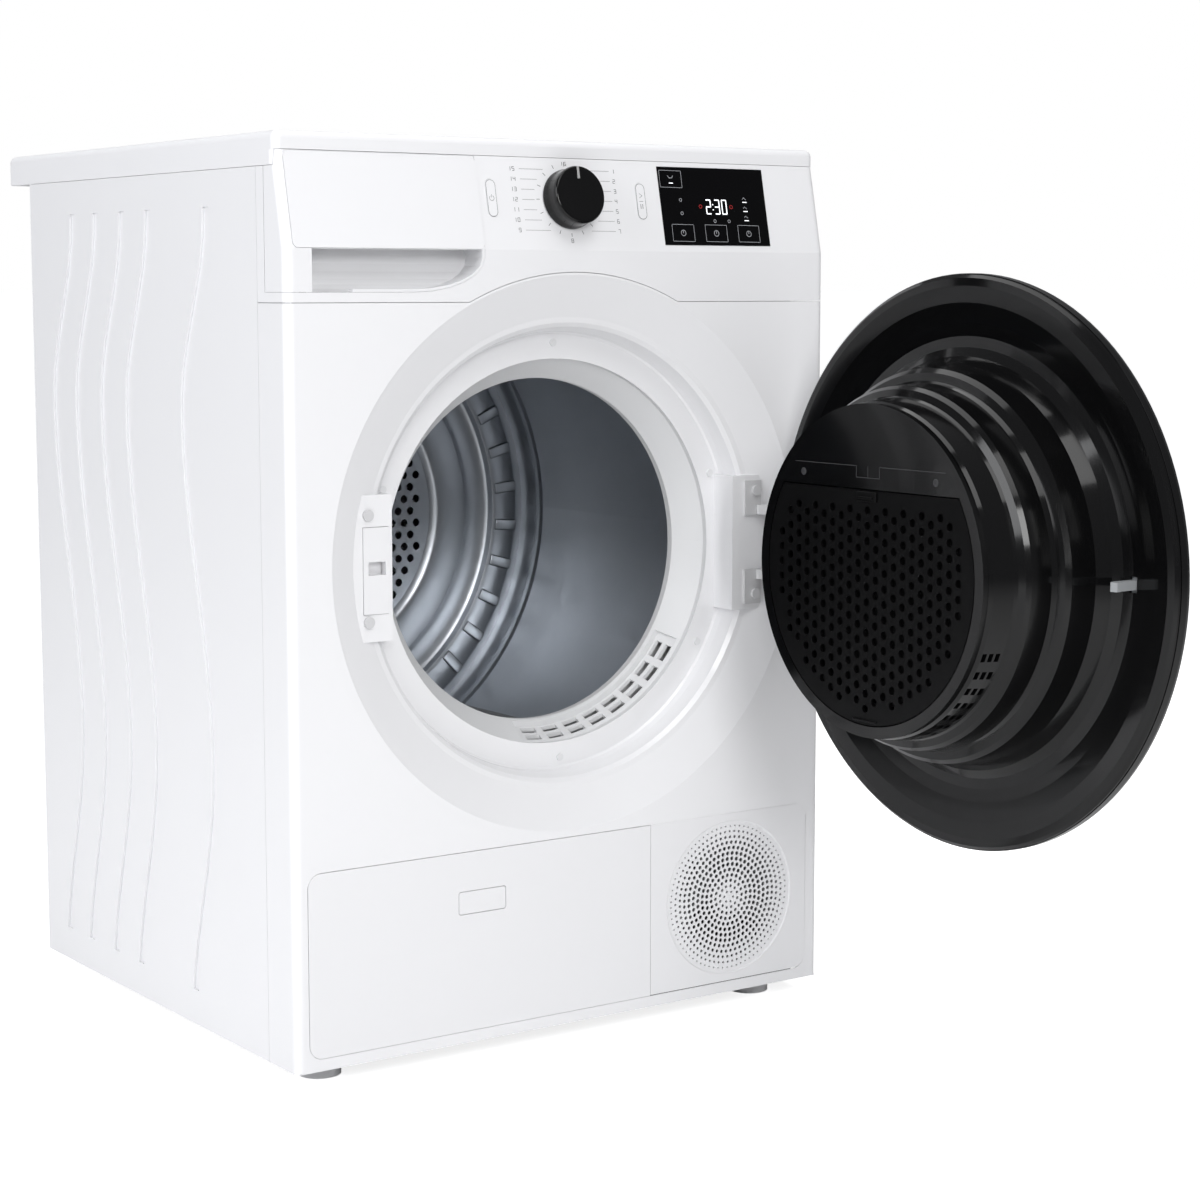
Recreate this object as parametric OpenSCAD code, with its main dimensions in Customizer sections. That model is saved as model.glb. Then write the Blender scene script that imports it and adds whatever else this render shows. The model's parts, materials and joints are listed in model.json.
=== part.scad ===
// Free-standing clothes dryer with its round door open.
// X runs to the right seen from the front, Z up, and the front faces -Y.
// The origin is the centre of the four feet, on the floor.

/* [Cabinet] */
// Width of the cabinet
width = 600; // [560:5:720]
// Height to the top of the worktop
height = 850; // [820:5:1020]
// Depth of the side panels
depth = 550; // [530:5:660]
// Thickness of the folded sheet steel
sheet = 1; // [0.8:0.1:1.5]
// Radius of the upright front corners
corner_r = 8; // [5:1:12]
// How far the front panel wraps round each side
wrap = 52; // [40:2:60]
// How far the worktop reaches past the back
rear_overhang = 55; // [30:5:70]
// Radius of a foot
foot_r = 20; // [15:1:25]

/* [Front] */
// Height of the centre of the door opening
port_z = 466; // [462:1:475]
// Radius of the recess round the door
recess_r = 261; // [255:1:264]
// Radius of the mouth into the drum
mouth_r = 164; // [162:1:168]
// Width of the water drawer
drawer_w = 203; // [180:1:220]
// Diameter of the programme knob
knob_d = 56; // [50:1:60]
// Height of the leaning control strip
strip_h = 85; // [80:1:90]
// How far the control strip leans back
strip_lean = 18; // [10:1:22]

/* [Door] */
// Radius of the door
door_r = 262; // [256:1:263]
// Distance of the hinge pin from the door's centre
hinge_reach = 249; // [246:1:250]
// Distance of the hinge pin in front of the cabinet
hinge_out = 12; // [11:1:14]
// Radius of the hinge pin
pin_r = 3; // [2.5:0.5:3.5]

/* [Drum] */
// Outer radius of the drum
drum_r = 278; // [250:1:280]
// Length of the drum
drum_len = 430; // [400:5:500]
// Radius of the drum's rear shaft
shaft_r = 12.5; // [10:0.5:15]
// Radius of a support roller
roller_r = 25; // [20:1:30]
// Radius of the motor pulley
pulley_r = 10; // [8:1:12]

/* [Fits] */
// Radial clearance of a running fit
run_fit = 0.05; // [0.02:0.01:0.09]
// Gap between neighbouring panels
panel_gap = 0.5; // [0.4:0.1:1]
// Radial gap between the drum and its belt
belt_gap = 0.4; // [0.3:0.1:0.8]

/* [Hidden] */
$fn = 96;

half_w = width / 2;
foot_clear = 18;
lid_h = 16;
skirt_h = 14;
lid_z = height - lid_h;
side_top = lid_z - skirt_h;
strip_z = lid_z - strip_h;
seam_z = strip_z - 47;
kick_bottom = 29;
kick_top = 199;
kick_inset = 13;
kick_split = 89;
kick_r = 14;
port_x = 3;
ring_y = 40;
pad_y = 10;
pad_half = 65;
flat_in = 183;
flat_out = 207;
ridge_r = 217;
mouth_y = 74;
bulkhead_y = 78;
drum_y = 88;
drum_end = drum_y + drum_len;
foot_x = half_w - 50;
foot_y = depth / 2 - 50;
strip_angle = atan(strip_lean / strip_h);
hinge_x = port_x + hinge_reach;
drawer_right = -half_w + drawer_w;
leg_z = foot_clear + 10;
wave_depth = 2.5;
wave_w = 12;
wave_starts = [151, 272, 330, 390, 445];
screw_r = 3;

// Everything measured from the front plane: y = 0 is the front, +y goes into the cabinet.
module at_front() { translate([0, -depth / 2, 0]) children(); }
module box(x0, x1, y0, y1, z0, z1) { translate([x0, y0, z0]) cube([x1 - x0, y1 - y0, z1 - z0]); }
// Turns a lathe profile drawn as [radius, y] about the axis of the door opening.
module port_lathe(points, fn = 144) {
    translate([port_x, 0, port_z]) rotate([90, 0, 0]) mirror([0, 0, 1])
        rotate_extrude($fn = fn) polygon(points);
}
module port_rod(x, z, y0, y1, r, fn = 32) {
    translate([x, y0, z]) rotate([-90, 0, 0]) cylinder(r = r, h = y1 - y0, $fn = fn);
}
// Plate in the XZ plane with rounded corners, from y0 to y1.
module rounded_plate(x0, x1, z0, z1, y0, y1, r) {
    box(x0 + r, x1 - r, y0, y1, z0, z1);
    box(x0, x1, y0, y1, z0 + r, z1 - r);
    for (x = [x0 + r, x1 - r], z = [z0 + r, z1 - r]) port_rod(x, z, y0, y1, r);
}
// The frame of the control strip: x along it, y up the slope, z out of it.
module on_strip() {
    translate([0, 0, strip_z]) rotate([90 - strip_angle, 0, 0]) children();
}

// ---- Side panels ----
wave_top = side_top - 34;
wave_bottom = 53;
wave_high = wave_bottom + 0.75 * (wave_top - wave_bottom);
wave_low = wave_bottom + 0.3 * (wave_top - wave_bottom);
wave_swing = 26;
function wave_y(z) = z > wave_high
    ? wave_swing * (1 + cos(180 * (z - wave_high) / (wave_top - wave_high)))
    : z > wave_low
        ? wave_swing * (1 - cos(180 * (z - wave_low) / (wave_high - wave_low)))
        : wave_swing * (1 - cos(150 * (wave_low - z) / (wave_low - wave_bottom)));
wave_steps = 30;
function wave_line(side, w) = [for (i = [0 : wave_steps])
    let (z = wave_bottom + (wave_top - wave_bottom) * i / wave_steps)
    [wave_y(z) + side * w / 2, z + (i == 0 ? -w / 8 : i == wave_steps ? w / 8 : 0)]];
function reversed(list) = [for (i = [len(list) - 1 : -1 : 0]) list[i]];
module wave(w, thick) {
    rotate([90, 0, 90]) linear_extrude(thick) polygon(concat(wave_line(-1, w), reversed(wave_line(1, w))));
}
module side_sheet() {
    box(-half_w, -half_w + sheet, wrap + 0.5, depth, foot_clear, side_top);
    box(-half_w, -half_w + 16, depth - sheet, depth, foot_clear, side_top);
    box(-half_w, -half_w + 14, wrap + 20, depth, side_top - sheet, side_top);
    box(-half_w, -half_w + 14, wrap + 20, depth, foot_clear, foot_clear + sheet);
}
module side_panel() {
    at_front() difference() {
        union() {
            side_sheet();
            for (y = wave_starts) translate([-half_w, y, 0]) wave(wave_w + 2, wave_depth + sheet);
        }
        for (y = wave_starts) translate([-half_w - 1, y, 0]) wave(wave_w, wave_depth + 1);
    }
}
module left_side_panel() { color("white") side_panel(); }
module right_side_panel() { color("white") mirror([1, 0, 0]) side_panel(); }

// ---- Front panel with its dished recess, latch pad and hinge pad ----
module upright_skin(z0, z1, thick, r, back) {
    box(-half_w + r, half_w - r, 0, thick, z0, z1);
    for (s = [-1, 1]) {
        box(min(s * half_w, s * (half_w - thick)), max(s * half_w, s * (half_w - thick)), r, back, z0, z1);
        translate([s * (half_w - r), r, z0]) intersection() {
            difference() {
                cylinder(r = r, h = z1 - z0, $fn = 32);
                translate([0, 0, -1]) cylinder(r = r - thick, h = z1 - z0 + 2, $fn = 32);
            }
            translate([s > 0 ? 0 : -r, -r, 0]) cube([r, r, z1 - z0]);
        }
    }
}
module pad_block(s, grow, y0, y1) {
    xm = port_x + s * 219;
    box(xm - 26 - grow, xm + 24 + grow, y0, y1, port_z - pad_half - grow, port_z + pad_half + grow);
}
module front_panel() {
    dish = [[recess_r + 2, 0], [recess_r + 2, sheet], [recess_r - 1, sheet + 1], [ridge_r + 6, 16],
        [ridge_r - 2, 20], [flat_out + 3, 32], [flat_out + 2, ring_y + sheet], [flat_in, ring_y + sheet],
        [flat_in, ring_y], [flat_out - 1, ring_y], [flat_out + 1, ring_y - 2], [flat_out + 2, 31],
        [ridge_r - 4, 18.5], [ridge_r, 15.5], [ridge_r + 5, 14.5], [recess_r - 3, 1.2], [recess_r, 0]];
    color("white") at_front() difference() {
        union() {
            difference() {
                upright_skin(foot_clear, seam_z - panel_gap / 2, sheet, corner_r, wrap);
                port_rod(port_x, port_z, -1, sheet + 1, recess_r + 1, 144);
            }
            port_lathe(dish);
            for (s = [-1, 1]) intersection() {
                pad_block(s, 1, pad_y, ring_y);
                port_lathe([[flat_in + 1, pad_y], [recess_r - 12, pad_y], [ridge_r + 5, 16], [ridge_r - 3, 20],
                    [flat_out + 2, 33], [flat_out + 1, ring_y], [flat_in + 1, ring_y]]);
            }
            box(-half_w + 3, half_w - 3, 0, 12, foot_clear, foot_clear + sheet);
        }
        rounded_plate(-half_w + kick_inset, half_w - kick_inset - 4, kick_bottom, kick_top, -1, 5, kick_r);
        // pocket behind the latch plate, and the screw holes
        box(port_x - 224.4, port_x - 197.6, pad_y - 1, pad_y + 9, port_z - 41.4, port_z + 37.4);
        for (s = [-1, 1]) port_rod(port_x - 219, port_z + s * 48, pad_y - 1, pad_y + 13, screw_r, 24);
        for (s = [-1, 1]) port_rod(port_x + 219, port_z + s * 51, pad_y - 1, pad_y + 13, screw_r, 24);
        for (a = bulkhead_angles)
            port_rod(port_x + 198 * cos(a), port_z + 198 * sin(a), ring_y - 1, ring_y + 3, 2.2, 24);
    }
}
bulkhead_angles = [90, 20, -30, -88, -160, 160];

// ---- Rear, worktop, base ----
module rear_panel() {
    color("silver") at_front() difference() {
        box(-half_w + 17, half_w - 17, depth - sheet, depth, foot_clear, side_top);
        port_rod(port_x, port_z, depth - 2, depth + 1, 60, 96);
        for (i = [0 : 5], j = [0 : 7])
            box(half_w - 150 + 16 * j, half_w - 141 + 16 * j, depth - 2, depth + 1, 60 + 22 * i, 76 + 22 * i);
        port_rod(-half_w + 70, height - 120, depth - 2, depth + 1, 8);
        port_rod(-half_w + 120, 110, depth - 2, depth + 1, 9);
        for (x = [-1, 1], z = [-1, 1])
            port_rod(x * 200, port_z + z * 190, depth - 2, depth + 1, screw_r, 24);
    }
}
module rear_duct_cover() {
    color("gainsboro") at_front() difference() {
        port_lathe([[0, depth + 38], [215, depth + 38], [240, depth + 28], [250, depth + 2.2], [266, depth + 2.2],
            [266, depth + 0.2], [248, depth + 0.2], [238, depth + 26], [214, depth + 36], [0, depth + 36]]);
        for (a = [0 : 45 : 359], r = [90 : 30 : 180]) rotate_about_port(a)
            translate([r, depth + 30, -18]) cube([12, 12, 36]);
    }
}
module rotate_about_port(a) { translate([port_x, 0, port_z]) rotate([0, a, 0]) children(); }
module worktop() {
    r = 7;
    color("white") at_front() union() {
        hull() for (x = [-half_w + r, half_w - r], y = [strip_lean + r, depth + rear_overhang - r]) {
            translate([x, y, height - r]) sphere(r, $fn = 24);
            translate([x, y, lid_z]) cylinder(r = r, h = 2, $fn = 24);
        }
        difference() {
            hull() for (x = [-half_w + r, half_w - r], y = [rail_y + r, depth + rear_overhang - r])
                translate([x, y, side_top + 0.4]) cylinder(r = r, h = skirt_h + 1, $fn = 24);
            box(-half_w + 12, half_w - 12, 0, depth + rear_overhang - 12, side_top - 1, lid_z);
        }
    }
}
module base_tray() {
    top = 62;
    color("dimgray") at_front() difference() {
        box(-half_w + 15, half_w - 15, 24, depth - 3, foot_clear + 2, top);
        box(-half_w + 19, half_w - 110, 28, depth - 120, foot_clear + 6, top + 1);
        box(half_w - 106, half_w - 19, 28, depth - 7, foot_clear + 6, top + 1);
        box(-half_w + 19, half_w - 110, depth - 116, depth - 7, foot_clear + 6, top + 1);
        for (x = [-foot_x, foot_x], y = [-foot_y, foot_y])
            translate([x, y + depth / 2, foot_clear]) cylinder(r = 4, h = 30, $fn = 32);
    }
}
module feet() {
    color("dimgray") for (x = [-foot_x, foot_x], y = [-foot_y, foot_y]) translate([x, y, 0]) {
        cylinder(r = foot_r, h = 9, $fn = 64);
        translate([0, 0, 9]) cylinder(r = 9, h = 7, $fn = 6);
        translate([0, 0, 15]) cylinder(r = 3.95, h = 18, $fn = 32);
    }
}
module top_brace() {
    color("silver") at_front() {
        box(-half_w + 20, half_w - 20, wrap + 4, wrap + 40, side_top - 1.5, side_top);
        box(-half_w + 20, half_w - 20, wrap + 38.5, wrap + 40, side_top - 12, side_top);
    }
}

// ---- Control fascia and what sits in it ----
fascia_t = 2.5;
rail_y = strip_lean + 3;
module strip_solid(x0, x1, inset, z0) {
    translate([x0, 0, 0]) rotate([90, 0, 90]) linear_extrude(x1 - x0) polygon([
        [inset, z0], [inset, strip_z], [strip_lean + inset, lid_z - inset], [wrap, lid_z - inset], [wrap, z0]]);
}
// Outside of the strip, with a rounded upright corner at its left and right ends.
function corner_points(x, y, from) = [for (i = [0 : 6]) [x + corner_r * cos(from + 15 * i), y + corner_r * sin(from + 15 * i)]];
module strip_body(x0, x1, z0, left, right) {
    hull() for (level = [[z0, 0], [strip_z, 0], [lid_z - 0.4, strip_lean]])
        translate([0, level[1], level[0]]) linear_extrude(0.01) polygon(concat(
            [[x0, wrap - level[1]]], left ? corner_points(x0 + corner_r, corner_r, 180) : [[x0, 0]],
            right ? corner_points(x1 - corner_r, corner_r, 270) : [[x1, 0]], [[x1, wrap - level[1]]]));
}
// Room for the worktop's two side rails.
module rail_room() {
    for (s = [-1, 1]) box(s * half_w - 12.6, s * half_w + 12.6, rail_y - 0.6, wrap + 1, side_top, lid_z + 1);
}
display_x0 = half_w - 194;
display_x1 = half_w - 67;
key_x = 83.5;
key_w = 11;
key_h = 35;
knob_x = 0;
strip_mid = 48;
drawer_low = seam_z + 9;
sweep_x = drawer_right - 75;
// The drawer's outline ends in a long curve at its lower right.
function drawer_outline(grow) = concat(
    [[-half_w - 1 - grow, drawer_low - grow], [sweep_x, drawer_low - grow]],
    [for (i = [1 : 6]) let (a = 15 * i) [sweep_x + (75 + grow) * sin(a), strip_z - 7 - (strip_z - 7 - drawer_low + grow) * cos(a)]],
    [[drawer_right + grow, lid_z + 1 + grow], [-half_w - 1 - grow, lid_z + 1 + grow]]);
module drawer_zone(grow, y0, y1) {
    translate([0, y1, 0]) rotate([90, 0, 0]) linear_extrude(y1 - y0) polygon(drawer_outline(grow));
}
module key_prism(x, w, h, z0, z1) {
    translate([x, strip_mid, z0]) {
        for (s = [-1, 1]) translate([0, s * (h - w) / 2, 0]) cylinder(r = w / 2, h = z1 - z0, $fn = 32);
        translate([-w / 2, -(h - w) / 2, 0]) cube([w, h - w, z1 - z0]);
    }
}
module control_fascia() {
    color("white") at_front() difference() {
        strip_body(-half_w, half_w, seam_z + panel_gap / 2, true, true);
        rail_room();
        port_rod(port_x, port_z, -1, wrap + 8, recess_r + 2 + panel_gap, 144);
        strip_solid(-half_w + fascia_t, half_w - fascia_t, fascia_t, seam_z - 1);
        difference() {
            drawer_zone(0, -2, 38.5);
            box(drawer_right, half_w, -3, 60, seam_z, height);
        }
        box(-half_w - 1, -half_w + 5, -2, 38.5, drawer_low, height);
        on_strip() translate([display_x0, 6, -1.2]) cube([display_x1 - display_x0, 76, 5]);
        on_strip() translate([knob_x, strip_mid, -6]) cylinder(r = 4.6, h = 8, $fn = 32);
        on_strip() for (x = [-key_x, key_x]) key_prism(x, key_w, key_h, -5, 3);
    }
}
module display_glass() {
    color("black") at_front() on_strip()
        translate([display_x0 + 0.4, 6.4, -1.1]) cube([display_x1 - display_x0 - 0.8, 75.2, 1.5]);
}
module control_board() {
    color("darkgreen") at_front() on_strip() translate([-95, 12, -12]) cube([325, 62, 1.6]);
}
module knob() {
    color("black") at_front() on_strip() translate([knob_x, strip_mid, 0]) difference() {
        union() {
            rotate_extrude() polygon([[0, 1], [knob_d / 2, 1], [knob_d / 2, 4], [knob_d / 2 - 2, 19],
                [knob_d / 2 - 4, 21.5], [knob_d / 2 - 8, 22], [0, 22]]);
            translate([0, 0, -7]) cylinder(r = 4.2, h = 9, $fn = 32);
        }
        translate([-1.2, knob_d / 2 - 12, 20.8]) cube([2.4, 9, 3]);
    }
}
module knob_pointer() {
    color("white") at_front() on_strip() translate([knob_x - 1.1, strip_mid + knob_d / 2 - 11.9, 20.8])
        cube([2.2, 7.8, 1.5]);
}
module knob_encoder() {
    color("gray") at_front() on_strip() translate([knob_x - 7, strip_mid - 7, -10.4]) cube([14, 14, 3]);
}
module key(x) {
    color("white") at_front() on_strip() {
        key_prism(x, key_w - 0.6, key_h - 0.6, -3.2, 0.4);
        translate([x, strip_mid, -5.5]) cylinder(r = 3, h = 3, $fn = 32);
    }
}
module power_button() { key(-key_x); }
module start_button() { key(key_x); }

// ---- Water drawer: leaning face, scooped grip and the tank behind it ----
grip_x = -half_w + 26;
module drawer_front() {
    g = panel_gap / 2;
    color("white") at_front() intersection() {
        union() {
            difference() {
                strip_body(-half_w, drawer_right - g, drawer_low + g, true, false);
                rail_room();
                difference() {
                    strip_solid(-half_w + 2.5, drawer_right + 2, 3, drawer_low - 1);
                    box(grip_x - 3, grip_x, 0, 31, drawer_low - 2, strip_z + 3);
                }
                box(grip_x, drawer_right + 1, -1, wrap + 1, drawer_low - 1, strip_z - 0.3);
                on_strip() rounded_face(-half_w + 7.5, drawer_right + 1, 0, lid_z - strip_z + 2, 5.5);
            }
            // end wall of the scoop, along the drawer's curved outline
            intersection() {
                difference() {
                    drawer_zone(-g, 0, 31);
                    drawer_zone(-g - 2.5, -1, 32);
                }
                box(grip_x + 40, drawer_right, 0, 31, seam_z, strip_z + 3);
            }
            on_strip() rounded_face(-half_w + 8, drawer_right - g, 0.5, lid_z - strip_z, 5);
            translate([grip_x - 1, 0, 0]) rotate([90, 0, 90]) linear_extrude(drawer_right - grip_x + 1 - g)
                polygon(concat(scoop_line(0), reversed(scoop_line(2.5))));
        }
        drawer_zone(-g, -2, 37.5);
    }
}
// The scoop rises from the bottom edge of the front to the back of the grip.
function scoop_line(out) = [for (i = [0 : 8]) let (a = 90 * i / 8)
    [(30 + out) * sin(a), strip_z + 3 - (strip_z + 3 - drawer_low + out) * cos(a)]];
// Plate on the strip, 0.6 proud of it and let 1 into it, with rounded corners.
module rounded_face(x0, x1, y0, y1, r) {
    translate([x0 + r, y0, -1]) cube([x1 - x0 - 2 * r, y1 - y0, 1.6]);
    translate([x0, y0 + r, -1]) cube([x1 - x0, y1 - y0 - 2 * r, 1.6]);
    for (x = [x0 + r, x1 - r], y = [y0 + r, y1 - r]) translate([x, y, -1]) cylinder(r = r, h = 1.6, $fn = 32);
}
tank_top = side_top - 15;
module water_tank() {
    z0 = strip_z + 8;
    z1 = tank_top;
    x1 = drawer_right - 12;
    end = depth - 60;
    color("lightsteelblue") at_front() difference() {
        box(-half_w + 12, x1, 38, end, z0, z1);
        box(-half_w + 14.5, x1 - 2.5, 40.5, end - 2.5, z0 + 2.5, z1 - 2.5);
        translate([(x1 - half_w + 12) / 2, end - 40, z1 - 4]) cylinder(r = 14, h = 6, $fn = 48);
    }
}
module tank_cap() {
    x = (drawer_right - 12 - half_w + 12) / 2;
    color("dimgray") at_front() translate([x, depth - 100, tank_top - 3]) difference() {
        cylinder(r = 13.9, h = 4.5, $fn = 48);
        translate([0, 0, -1]) cylinder(r = 4, h = 7, $fn = 32);
    }
}
module tank_tray() {
    z = strip_z + 4;
    color("gray") at_front() {
        box(-half_w + 6, drawer_right - 6, 42, depth - 40, z, z + 3);
        box(drawer_right - 9, drawer_right - 6, 42, depth - 40, z, z + 34);
        box(-half_w + 6, -half_w + 9, 42, depth - 40, z, z + 34);
    }
}

// ---- Drum front: bulkhead, air outlet, seal ----
grille_from = -100;
grille_to = -32;
module bulkhead_profile(r0, r1) {
    port_lathe([[flat_in + 0.5, ring_y + sheet + 0.2], [202, ring_y + sheet + 0.2], [202, ring_y + 4], [187, ring_y + 4],
        [mouth_r + 9, mouth_y - 6], [mouth_r + 6, bulkhead_y], [drum_r + 4, bulkhead_y], [drum_r + 4, bulkhead_y + 3],
        [mouth_r + 2, bulkhead_y + 3], [mouth_r, bulkhead_y + 1], [mouth_r, mouth_y - 2], [mouth_r + 5, mouth_y - 9],
        [flat_in, ring_y + 6]]);
}
module grille_sector(y0, y1) {
    intersection() {
        port_lathe([[mouth_r + 1, y0], [200, y0], [200, y1], [mouth_r + 1, y1]]);
        translate([port_x, y0, port_z]) rotate([90, 0, 0]) mirror([0, 0, 1]) linear_extrude(y1 - y0)
            polygon(concat([[0, 0]], [for (i = [0 : 8]) let (a = grille_from + (grille_to - grille_from) * i / 8)
                [240 * cos(a), 240 * sin(a)]]));
    }
}
module front_bulkhead() {
    color("whitesmoke") at_front() difference() {
        bulkhead_profile();
        grille_sector(ring_y + 9, mouth_y - 5);
        for (a = bulkhead_angles)
            port_rod(port_x + 198 * cos(a), port_z + 198 * sin(a), ring_y, ring_y + 6, 2.2, 24);
    }
}
module air_grille() {
    y0 = ring_y + 9.4;
    y1 = mouth_y - 5.4;
    color("gainsboro") at_front() difference() {
        intersection() {
            grille_sector(y0, y1);
            port_lathe([[mouth_r + 6, y1 + 2], [mouth_r + 9.5, y1 + 2], [187, y0 - 1], [183, y0 - 1]]);
        }
        for (i = [0 : 7], row = [0, 1]) rotate_about_port(-(grille_from + 5.6 + 8.1 * i))
            translate([150, y0 + 2 + row * 9.2, -8.6]) cube([60, 6.2, 17.2]);
    }
}
module bulkhead_screws() {
    color("silver") at_front() for (a = bulkhead_angles) translate([198 * cos(a), 0, 198 * sin(a)]) {
        port_rod(port_x, port_z, ring_y - 1.4, ring_y - 0.1, 3.6, 24);
        port_rod(port_x, port_z, ring_y - 0.4, ring_y + 9, 2, 24);
    }
}
module drum_seal() {
    color("tan") at_front() port_lathe([[drum_r - 10, bulkhead_y + 3.1], [drum_r, bulkhead_y + 3.1],
        [drum_r, drum_y - 0.6], [drum_r - 10, drum_y - 0.6]], 96);
}

// ---- Drum ----
module drum_shell() {
    t = 1;
    bead = drum_end - 46;
    color("silver") at_front() port_lathe([[drum_r - 9, drum_y], [drum_r, drum_y], [drum_r, drum_y + 14],
        [drum_r, bead], [drum_r - 2, bead + 4], [drum_r - 2, bead + 10], [drum_r, bead + 14], [drum_r, drum_end],
        [drum_r - t, drum_end], [drum_r - t, bead + 14.4], [drum_r - 2 - t, bead + 10.4], [drum_r - 2 - t, bead + 3.6],
        [drum_r - t, bead - 0.4], [drum_r - t, drum_y + t], [drum_r - 9, drum_y + t]]);
}
hub_r = 150;
module drum_rear_wall() {
    e = drum_end;
    rim = drum_r - 1.05;
    color("silver") at_front() difference() {
        union() {
            port_lathe([[0, e - 6], [hub_r - 4, e - 6], [hub_r + 4, e - 12], [196, e - 9], [201, e - 2], [rim - 50, e - 3],
                [rim - 45, e - 12], [rim - 14, e - 8], [rim - 10, e - 1.2], [rim, e - 1.2], [rim, e], [rim - 11, e],
                [rim - 15, e - 6.8], [rim - 45.6, e - 10.8], [rim - 50, e - 1.8], [200, e - 0.8], [195, e - 7.8],
                [hub_r + 4, e - 10.8], [hub_r - 3.6, e - 4.8], [0, e - 4.8]]);
            port_rod(port_x, port_z, e - 7, e + 4, 33, 64);
            for (i = [0 : 35]) rotate_about_port(10 * i + 5)
                translate([rim - 43, e - 14.2, -6]) cube([27, 4.6, 12]);
        }
        for (ring = [2 : 6], k = [0 : 6 * ring - 1]) rotate_about_port(360 * k / (6 * ring) + 5 * ring)
            translate([22.5 * ring, e - 14, 0]) rotate([-90, 0, 0]) cylinder(r = 5, h = 12, $fn = 6);
    }
}
module drum_lifters() {
    y0 = drum_y + 40;
    y1 = drum_end - 60;
    color("lightgray") at_front() for (a = [180, 0, 90]) rotate_about_port(a == 0 ? 60 : a == 90 ? -60 : a)
        translate([drum_r - 1.6, y1, 0]) rotate([90, 0, 0]) linear_extrude(y1 - y0)
            polygon(concat([for (i = [-3 : 3]) [(drum_r - 1.1) * cos(2 * i) - drum_r + 1.6, (drum_r - 1.1) * sin(2 * i)]],
                [[-10, 22], [-34, 7], [-38, 0], [-34, -7], [-10, -22]]));
}
module drum_shaft() {
    color("silver") at_front() port_rod(port_x, port_z, drum_end + 4, depth + 20, shaft_r, 64);
}
module shaft_bearing() {
    color("gray") at_front() difference() {
        union() {
            port_rod(port_x, port_z, depth + 2, depth + 16, 26, 64);
            for (a = [45 : 90 : 315]) hull() {
                port_rod(port_x, port_z, depth + 0.2, depth + 5, 24, 32);
                port_rod(port_x + 72 * cos(a), port_z + 72 * sin(a), depth + 0.2, depth + 5, 9, 32);
            }
        }
        port_rod(port_x, port_z, depth - 1, depth + 18, shaft_r + run_fit, 64);
    }
}

// ---- Front support rollers ----
roller_angle = 32;
roller_y = drum_y + 30;
roller_w = 22;
axle_r = 5;
function roller_at(s) = [port_x + s * (drum_r + roller_r + 0.4) * sin(roller_angle),
    port_z - (drum_r + roller_r + 0.4) * cos(roller_angle)];
module roller(s) {
    p = roller_at(s);
    color("dimgray") at_front() difference() {
        port_rod(p.x, p.y, roller_y, roller_y + roller_w, roller_r, 64);
        port_rod(p.x, p.y, roller_y - 1, roller_y + roller_w + 1, axle_r + run_fit, 32);
        for (k = [0 : 5]) port_rod(p.x + 13 * cos(60 * k), p.y + 13 * sin(60 * k), roller_y - 1,
            roller_y + roller_w + 1, 3.5, 16);
    }
}
module roller_left() { roller(-1); }
module roller_right() { roller(1); }
module roller_axles() {
    color("silver") at_front() for (s = [-1, 1]) {
        p = roller_at(s);
        port_rod(p.x, p.y, bulkhead_y + 3.2, roller_y + roller_w + 4, axle_r, 32);
        port_rod(p.x, p.y, bulkhead_y + 3.2, roller_y - 1, 9, 32);
        box(p.x - 16, p.x + 16, bulkhead_y + 3.2, bulkhead_y + 6, p.y - 14, p.y + 14);
        box(p.x - 16, p.x + 16, bulkhead_y - 0.2, bulkhead_y + 6, 63, p.y - 12);
    }
}

// ---- Belt drive, motor and blower ----
motor_x = half_w - 110;
motor_z = 118;
belt_y = drum_y + 192;
belt_t = 2;
module drum_belt() {
    color("black") at_front() translate([0, belt_y + 4, 0]) rotate([90, 0, 0]) linear_extrude(8) difference() {
        hull() {
            translate([port_x, port_z]) circle(drum_r + belt_gap + belt_t, $fn = 120);
            translate([motor_x, motor_z]) circle(pulley_r + belt_gap + belt_t, $fn = 32);
        }
        hull() {
            translate([port_x, port_z]) circle(drum_r + belt_gap, $fn = 120);
            translate([motor_x, motor_z]) circle(pulley_r + belt_gap, $fn = 32);
        }
    }
}
module motor() {
    color("gray") at_front() difference() {
        union() {
            port_rod(motor_x, motor_z, belt_y - 110, belt_y - 22, 48, 64);
            box(motor_x - 40, motor_x + 40, belt_y - 100, belt_y - 30, 63, motor_z - 30);
        }
        port_rod(motor_x, motor_z, belt_y - 112, belt_y - 20, 6 + run_fit, 32);
        for (k = [0 : 11]) translate([motor_x, 0, motor_z]) rotate([0, 30 * k, 0])
            translate([43, belt_y - 90, -4]) cube([8, 48, 8]);
    }
}
module motor_rotor() {
    color("silver") at_front() {
        port_rod(motor_x, motor_z, belt_y - 170, belt_y + 12, 6, 32);
        port_rod(motor_x, motor_z, belt_y - 6, belt_y + 6, pulley_r, 48);
        for (s = [-1, 1]) port_rod(motor_x, motor_z, belt_y + s * 7.5 - 1.5, belt_y + s * 7.5 + 1.5, pulley_r + 4, 48);
    }
}
blower_r = 50;
module blower_wheel() {
    y0 = belt_y - 168;
    color("dimgray") at_front() difference() {
        union() {
            port_rod(motor_x, motor_z, y0, y0 + 2.5, blower_r, 64);
            port_rod(motor_x, motor_z, y0, y0 + 34, 12, 32);
            for (k = [0 : 23]) translate([motor_x, 0, motor_z]) rotate([0, 15 * k, 0])
                translate([blower_r - 14, y0, -1]) cube([13, 36, 2]);
        }
        port_rod(motor_x, motor_z, y0 - 1, y0 + 40, 6, 32);
    }
}
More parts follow.
